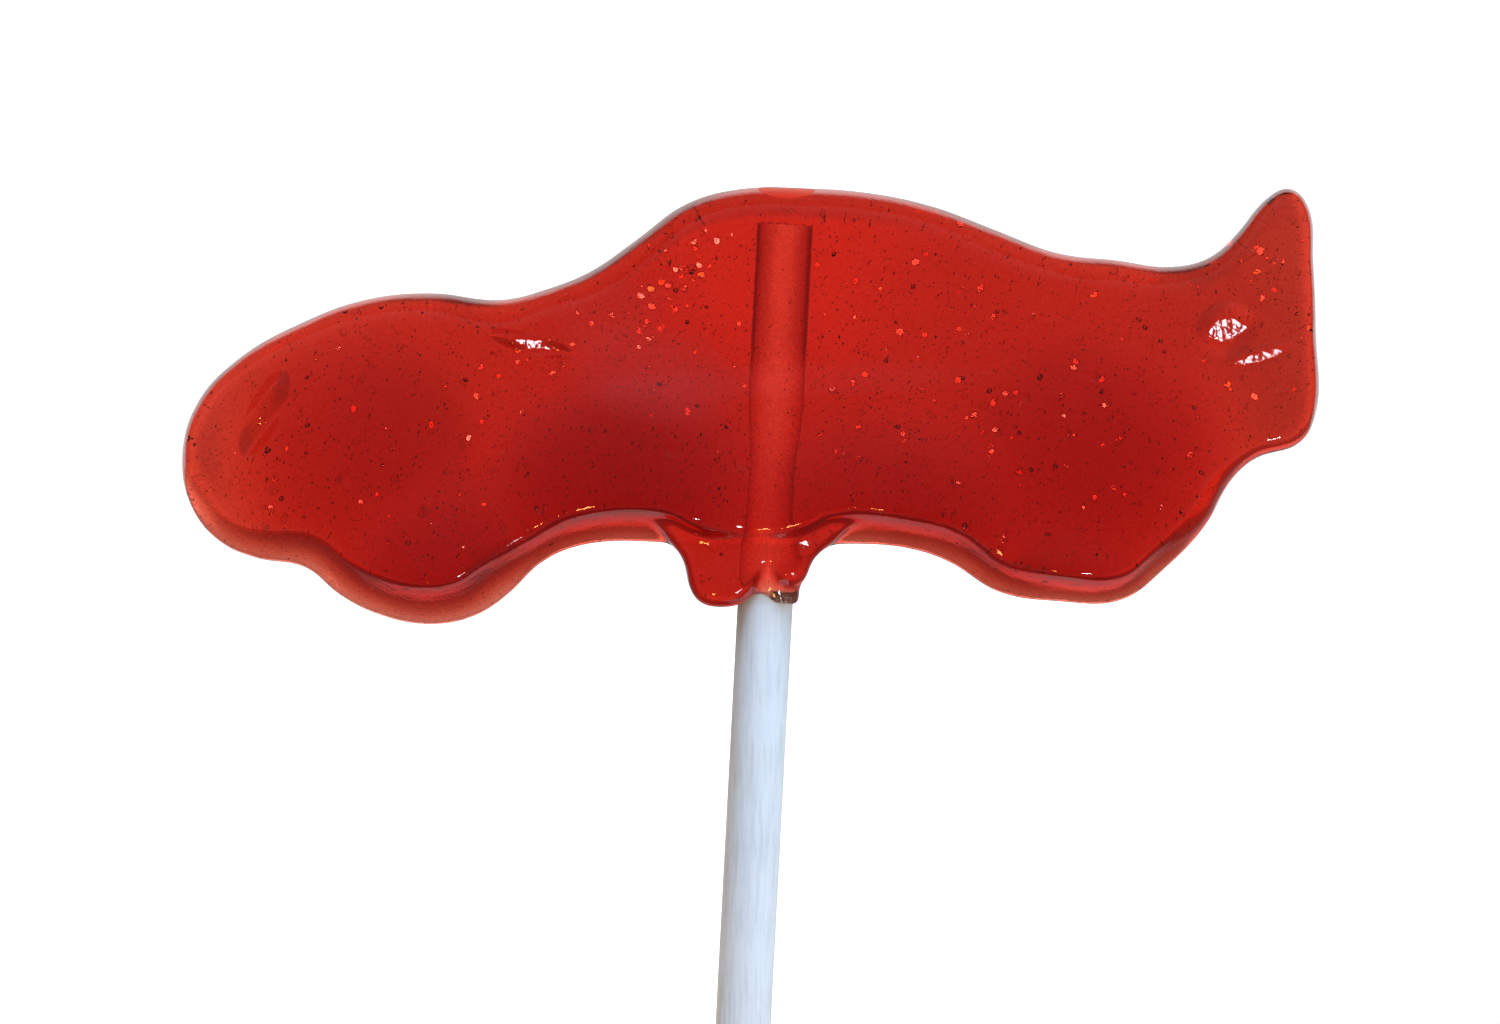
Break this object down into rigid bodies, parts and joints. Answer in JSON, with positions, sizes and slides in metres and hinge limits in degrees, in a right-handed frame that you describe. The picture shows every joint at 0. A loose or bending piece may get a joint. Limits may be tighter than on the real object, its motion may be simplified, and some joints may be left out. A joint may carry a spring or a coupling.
{
  "type": "barley sugar lollipop",
  "caption": "Cast red barley sugar lollipop in the outline of a car with soft relief on its face, on a rolled paper stick, lying on its flat back.",
  "frame": {"origin": "on the flat back of the sweet, which is the plane z = 0 that it lies on, at the middle of the sweet's length and height", "axes": "+Z out of the shown face, +Y toward the roof of the car and away from the stick, +X toward the tail of the car"},
  "size_m": [0.0824, 0.1169, 0.0109],
  "materials": {
    "sugar": "clear red boiled sugar, glossy",
    "paper": "rolled white paper, matte"
  },
  "bodies": {
    "root": {"candy": "sugar", "stick": "paper"}
  },
  "joints": []
}
